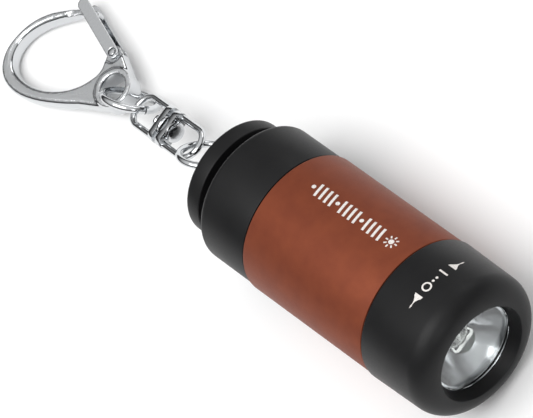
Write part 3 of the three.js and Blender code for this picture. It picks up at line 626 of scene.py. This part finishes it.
def led_cup():
    """The lamp's own small mirror cup, cast inside the dome, with the chip's phosphor drop in it."""
    floor = LED_REAR + 2.3
    outline = [
        (floor - 0.5, 0.9), (floor + 0.7, 1.35), (floor + 0.7, 1.2), (floor, 0.55), (floor, 0.02),
    ]
    cup = turned(outline, 48, bored=False)
    put(cup, TORCH, "led_cup", NICKEL, "lamp_module", "steel")
    drop = [(floor + 0.02, 0.5), (floor + 0.2, 0.62), *arc(floor + 0.2, 0, 0.62, 80, 8, 6)]
    gel = turned(drop, 32, bored=False)
    put(gel, TORCH, "led_gel", PHOSPHOR, "lamp_module", "led_dome")


# ------------------------------------------------------------------ torch: sleeve


def sleeve_tube():
    edge = 0.18
    inside = SLEEVE_R - SLEEVE_WALL
    outline = [
        *arc(-edge, SLEEVE_R - edge, edge, 0, 90, 4),
        *arc(SLEEVE_REAR + edge, SLEEVE_R - edge, edge, 90, 180, 4),
        (SLEEVE_REAR, inside), (0, inside),
    ]
    return put(
        turned(outline, 160), TORCH, "sleeve_tube", ALUMINIUM, "barrel", "brown_aluminium", "sleeve"
    )


# ------------------------------------------------------------------ printed marks

INK_THICKNESS = 0.03
SLEEVE_MARK_TURN = math.radians(-28)        # from the top towards +Y
HEAD_MARK_TURN = math.radians(-24)
HEAD_MARK_STATION = 6.8


def start_stencil():
    """An empty sheet over the top of the torch, to which flat shapes are added."""
    bpy.ops.object.select_all(action="DESELECT")
    bpy.ops.mesh.primitive_plane_add(size=1, location=(0, 0, 0))
    sheet = bpy.context.object
    begin_edit()
    bpy.ops.mesh.delete(type="VERT")
    return sheet


def add_bar(along, round_it, length, width, slant=0.0):
    """A bar with its length round the torch and its width along it, leaning by the slant."""
    bpy.ops.mesh.primitive_grid_add(
        x_subdivisions=2, y_subdivisions=10, size=1, location=(along, round_it, 0)
    )
    bpy.ops.transform.resize(value=(width, length, 1), center_override=(along, round_it, 0))
    if slant:
        bpy.ops.transform.rotate(value=-slant, orient_axis="Z", center_override=(along, round_it, 0))


def add_dot(along, round_it, radius, sides=24, turn=0.0):
    bpy.ops.mesh.primitive_circle_add(
        vertices=sides, radius=radius, fill_type="TRIFAN", location=(along, round_it, 0),
        rotation=(0, 0, turn),
    )


def add_hoop(along, round_it, radius, line):
    """A ring outline: a filled circle inset by the line's width, its middle taken out."""
    bpy.ops.mesh.select_all(action="DESELECT")
    bpy.ops.mesh.primitive_circle_add(
        vertices=32, radius=radius, fill_type="NGON", location=(along, round_it, 0)
    )
    bpy.ops.mesh.inset(thickness=line)
    bpy.ops.mesh.delete(type="FACE")


def print_on(sheet, under, lift, turn, name, body):
    """The sheet pressed on the piece under it, given an ink's thickness and turned round the torch."""
    bpy.ops.object.mode_set(mode="OBJECT")
    sheet.location = (0, 0, HEAD_R + 2)
    bpy.ops.object.transform_apply(location=True, rotation=True, scale=True)
    form = turned([(SLEEVE_REAR, SLEEVE_R), (0, SLEEVE_R), (0.3, HEAD_R), (11, SLEEVE_R)], 256, False)
    bpy.ops.object.select_all(action="DESELECT")
    sheet.select_set(True)
    apply_modifier(
        sheet, "SHRINKWRAP", target=form, wrap_method="PROJECT", use_project_z=True,
        use_negative_direction=True, use_positive_direction=False, offset=lift,
    )
    bpy.data.objects.remove(form)
    apply_modifier(sheet, "SOLIDIFY", thickness=INK_THICKNESS, offset=1)
    return put(sheet, TORCH @ Matrix.Rotation(turn, 4, "X"), name, INK, body, under)


def beam_motif():
    """A lamp sign, then a row of leaning strokes and dots, in place of any lettering."""
    sheet = start_stencil()
    lamp, reach, rays = -4.3, 1.0, 8
    add_dot(lamp, 0, 0.5)
    for ray in range(rays):
        angle = 2 * math.pi * ray / rays
        add_bar(lamp + reach * math.cos(angle), reach * math.sin(angle), 0.26, 0.5, angle)
    first_stroke, pitch, slant = -6.7, 1.13, math.radians(14)
    for stroke in range(15):
        place = first_stroke - pitch * stroke
        if stroke % 5 == 4:
            add_dot(place, 0, 0.38)
        else:
            add_bar(place, 0, 2.65, 0.46, slant)
    print_on(sheet, "brown_aluminium", 0.005, SLEEVE_MARK_TURN, "sleeve_print", "barrel")


def twist_marks():
    """Two arrowheads along the twist, with plain off and on signs between them."""
    sheet = start_stencil()
    middle_line = HEAD_MARK_STATION
    arrow_out, sign_out = 4.3, 1.8
    for side in (-1, 1):
        add_dot(middle_line, side * arrow_out, 1.0, 3, 0 if side > 0 else math.pi)
        bpy.ops.transform.resize(value=(0.95, 1.6, 1), center_override=(middle_line, side * arrow_out, 0))
    add_hoop(middle_line, -sign_out, 0.85, 0.28)
    add_bar(middle_line, sign_out, 0.32, 1.8)
    for place in (-0.4, 0.4):
        add_dot(middle_line, place, 0.23)
    print_on(sheet, "black_plastic", 0.005, HEAD_MARK_TURN, "twist_print", "head")


# ------------------------------------------------------------------ torch: tail


def tail_cap_shell():
    room_end = CAP_GROOVE + 1.6
    outline = [
        *arc(CAP_FRONT - 0.2, CAP_R - 0.2, 0.2, 0, 90, 4),
        *arc(CAP_GROOVE + 1.2, CAP_R - 1.2, 1.2, 90, 180, 10),
        (CAP_GROOVE, GROOVE_R + 0.2), *arc(CAP_GROOVE - 0.2, GROOVE_R + 0.2, 0.2, 0, -90, 3)[1:],
        *arc(CAP_DISC + 0.2, GROOVE_R + 0.2, 0.2, 270, 180, 3),
        *arc(CAP_DISC - 0.2, DISC_R - 0.2, 0.2, 0, 90, 3),
        *arc(CAP_REAR + 0.7, DISC_R - 0.7, 0.7, 90, 180, 8),
        (CAP_REAR, 0.02), (CAP_REAR + 1.6, 0.02), (CAP_REAR + 1.6, PLUG_ROOM_R),
        (room_end, PLUG_ROOM_R), (room_end, CAP_MOUTH_R), (CAP_FRONT - 0.2, CAP_MOUTH_R),
        (CAP_FRONT, CAP_MOUTH_R + 0.2),
    ]
    return put(turned(outline, 160), TORCH, "tail_cap_shell", ABS, "cap", "black_plastic", "tail_cap")


def tail_lug():
    """Plate with a round end and a drilled hole, moulded on the cap's end disc."""
    hole = CAP_REAR - LUG_REACH
    root = CAP_REAR + 0.3
    bpy.ops.object.select_all(action="DESELECT")
    bpy.ops.mesh.primitive_cube_add(size=1, location=((hole + root) / 2, 0, 0))
    bpy.ops.transform.resize(value=(root - hole, 2 * LUG_R, LUG_THICKNESS))
    plate = bpy.context.object
    bpy.ops.object.transform_apply(location=True, rotation=True, scale=True)
    end = round_bar(LUG_R, LUG_THICKNESS, (hole, 0, 0), 64)
    join_to(plate, end)
    cut_out(plate, round_bar(LUG_HOLE_R, LUG_THICKNESS + 2, (hole, 0, 0), 64))
    rounded(plate, 0.25)
    turn = Matrix.Rotation(math.pi / 2 - LUG_TURN, 4, "X")
    return put(plate, TORCH @ turn, "tail_lug", ABS, "cap", "black_plastic")


# ------------------------------------------------------------------ chain


def bent_ring(ring_radius, wire_radius, opening):
    """Round wire bent to a ring in the XY plane, its two ends almost meeting on +X."""
    bpy.ops.object.select_all(action="DESELECT")
    bpy.ops.mesh.primitive_circle_add(
        vertices=20, radius=wire_radius, location=(ring_radius, 0, 0), rotation=(math.pi / 2, 0, 0)
    )
    piece = bpy.context.object
    begin_edit()
    bpy.ops.transform.rotate(value=-opening / 2, orient_axis="Z", center_override=(0, 0, 0))
    bpy.ops.mesh.spin(steps=96, angle=opening - 2 * math.pi, center=(0, 0, 0), axis=(0, 0, 1))
    cap_ends()
    return piece


def cap_ends():
    """The two open ends of a bent wire filled, and its skin closed."""
    bpy.ops.mesh.select_all(action="SELECT")
    bpy.ops.mesh.remove_doubles(threshold=HAIR)
    bpy.ops.mesh.fill_holes(sides=0)
    close_skin()


def chain_rings():
    jump = bent_ring(JUMP_RING_R, JUMP_WIRE_R, math.radians(4))
    place = chain_place(CHAIN_START) @ Matrix.Rotation(-LUG_TURN, 4, "X")
    put(jump, place, "jump_ring_wire", CHROME, "jump_ring_link", "chrome", "jump_ring")
    link = bent_ring(LINK_RING_R, LINK_WIRE_R, math.radians(3))
    place = chain_place(middle("link_ring")) @ Matrix.Rotation(LINK_RING_TURN, 4, "X")
    put(link, place, "link_ring_wire", CHROME, "ring_link", "chrome", "link_ring")


def swivel_loop():
    """Bent wire with its bow towards +X, its legs let into a drilled cross plate."""
    half = LOOP_WIDTH / 2
    root = HUB_GAP + CROSS_PLATE / 2
    bow = LOOP_LENGTH - half
    bpy.ops.object.select_all(action="DESELECT")
    bpy.ops.mesh.primitive_circle_add(
        vertices=20, radius=LOOP_WIRE_R, location=(root, -half, 0), rotation=(0, math.pi / 2, 0)
    )
    wire = bpy.context.object
    begin_edit()
    bpy.ops.mesh.extrude_region_move(TRANSFORM_OT_translate={"value": (bow - root, 0, 0)})
    bpy.ops.mesh.spin(steps=32, angle=-math.pi, center=(bow, 0, 0), axis=(0, 0, 1))
    bpy.ops.mesh.extrude_region_move(TRANSFORM_OT_translate={"value": (root - bow, 0, 0)})
    cap_ends()
    high, wide = CROSS_HEIGHT / 2, half + LOOP_WIRE_R + 0.1
    side = (0, math.pi / 2, 0)
    plate = round_bar(high, CROSS_PLATE, (root, wide - high, 0), 48, side)
    bpy.ops.object.select_all(action="DESELECT")
    bpy.ops.mesh.primitive_cube_add(size=1, location=(root, 0, 0))
    bpy.ops.transform.resize(value=(CROSS_PLATE, 2 * (wide - high), 2 * high))
    join_to(plate, bpy.context.object)
    join_to(plate, round_bar(high, CROSS_PLATE, (root, high - wide, 0), 48, side))
    cut_out(plate, round_bar(RIVET_R + GAP, CROSS_PLATE + 2, (root, 0, 0), 40, side))
    bpy.context.view_layer.objects.active = plate
    plate.select_set(True)
    bpy.ops.object.transform_apply(location=True, rotation=True, scale=True)
    rounded(plate, 0.2)
    join_to(plate, wire)
    return plate


def swivel():
    place = chain_place(HUB)
    put(swivel_loop(), place, "swivel_loop_torch_side", CHROME, "swivel_front", "chrome",
        "swivel_front_loop")
    turned_round = place @ Matrix.Rotation(math.pi, 4, "Z")
    put(swivel_loop(), turned_round, "swivel_loop_clasp_side", CHROME, "swivel_rear", "chrome",
        "swivel_rear_loop")
    reach = HUB_GAP + CROSS_PLATE + GAP
    rivet = turned([
        (-reach - 1.0, 0.5), (-reach - 0.85, 0.9), (-reach - 0.55, 1.25), (-reach - 0.2, 1.25),
        (-reach, 1.1), (-reach, RIVET_R), (reach, RIVET_R), (reach, 1.7), (reach + 0.12, 1.85),
        (reach + 0.32, 1.82), (reach + 0.5, 1.55), (reach + 0.6, 1.0), (reach + 0.6, 0.4),
    ], 48, bored=False)
    put(rivet, place, "swivel_rivet_pin", CHROME, "swivel_front", "chrome", "swivel_rivet")
    washer = turned([
        (-0.25, 0.85), (-0.25, 1.8), (-0.15, 1.9), (0.15, 1.9), (0.25, 1.8), (0.25, 0.85),
    ], 48)
    put(washer, place, "swivel_spacer", CHROME, "swivel_front", "chrome", "swivel_washer")


# ------------------------------------------------------------------ assembly

head_housing()
lens_window()
reflector_bowl()
led_dome()
led_cup()
sleeve_tube()
beam_motif()
twist_marks()
tail_cap_shell()
tail_lug()
chain_rings()
swivel()
softened("clasp_body", "clasp_casting", CASTING, "clasp", "chrome", 0.13, 25)
softened("gate", "gate_channel", CHROME, "gate_lever", "chrome", 0.09, 4)
refined("gate_pin", "gate_hinge_pin", CHROME, "clasp", "chrome", 0.12)
refined("rear_bulkhead", "rear_collar", ABS, "barrel", "black_plastic")
refined("core", "inner_core", ABS, "barrel", "black_plastic")
refined("usb_shell", "plug_shell", NICKEL, "barrel", "steel", 0.1)
refined("usb_tongue", "plug_tongue", NYLON, "barrel", "white_plastic")
refined("charge_board", "charging_board", BOARD, "barrel", "circuit_board")
refined("charge_chip", "charging_chip", ABS, "barrel", "black_plastic")
refined("led_board", "lamp_board", BOARD, "lamp_module", "circuit_board")
refined("led_contact", "lamp_contact", GOLD, "lamp_module", "contact_brass")
refined("battery", "cell", FILM, "barrel", "cell_wrap", 0.3)
for number in range(1, 5):
    refined(f"usb_contact_{number}", f"plug_contact_{number}", GOLD, "barrel", "contact_brass", 0.04)

# Solids whose shape is right as it is take a finish only.
FINISHES = {
    "lens_seal": RUBBER, "neck_o_ring": RUBBER, "tail_o_ring": RUBBER,
    "battery_spring": NICKEL, "gate_spring": NICKEL, "charge_lamp": EPOXY,
}
for node, material in FINISHES.items():
    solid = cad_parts[node]
    solid.data.materials.clear()
    solid.data.materials.append(material)

# ------------------------------------------------------------------ studio


def add_floor():
    bpy.ops.object.select_all(action="DESELECT")
    bpy.ops.mesh.primitive_plane_add(size=6, location=(0, 0, -0.0002))
    floor = bpy.context.object
    floor.name = "studio_floor"
    paper, surface = start_material("studio_paper", {"Roughness": 0.9, "Base Color": shade("#fcfcfc")})
    floor.data.materials.append(paper)


def add_softbox(name, place, size, power):
    data = bpy.data.lights.new(name, "AREA")
    data.shape = "RECTANGLE"
    data.size, data.size_y = size
    data.energy = power
    light = bpy.data.objects.new(name, data)
    light.location = place
    light.rotation_euler = (Vector((0, 0, 0.01)) - Vector(place)).to_track_quat("-Z", "Y").to_euler()
    bpy.context.scene.collection.objects.link(light)


def add_sky():
    """Bright overhead and dim at the horizon, so that metal has something dark to show."""
    world = bpy.data.worlds.new("studio")
    bpy.context.scene.world = world
    world.use_nodes = True
    place = add_node(world, "ShaderNodeTexCoord")
    height = add_node(world, "ShaderNodeSeparateXYZ", {}, {"Vector": (place, "Generated")})
    ramp = add_node(world, "ShaderNodeValToRGB", {}, {"Fac": (height, "Z")})
    ramp.color_ramp.elements[0].position = 0.25
    ramp.color_ramp.elements[0].color = (0.05, 0.05, 0.052, 1)
    ramp.color_ramp.elements[1].position = 0.75
    ramp.color_ramp.elements[1].color = (0.8, 0.8, 0.8, 1)
    backdrop = world.node_tree.nodes["Background"]
    backdrop.inputs["Strength"].default_value = 1.0
    connect(world, ramp, "Color", backdrop, "Color")


add_floor()
add_softbox("overhead_box", (0.05, -0.25, 0.75), (0.7, 0.5), 4.2)
add_softbox("side_box", (-0.15, 0.75, 0.35), (0.6, 0.25), 1.0)
add_softbox("front_box", (0.8, -0.1, 0.45), (0.3, 0.3), 0.8)
add_sky()
bpy.context.scene.view_settings.view_transform = "Standard"
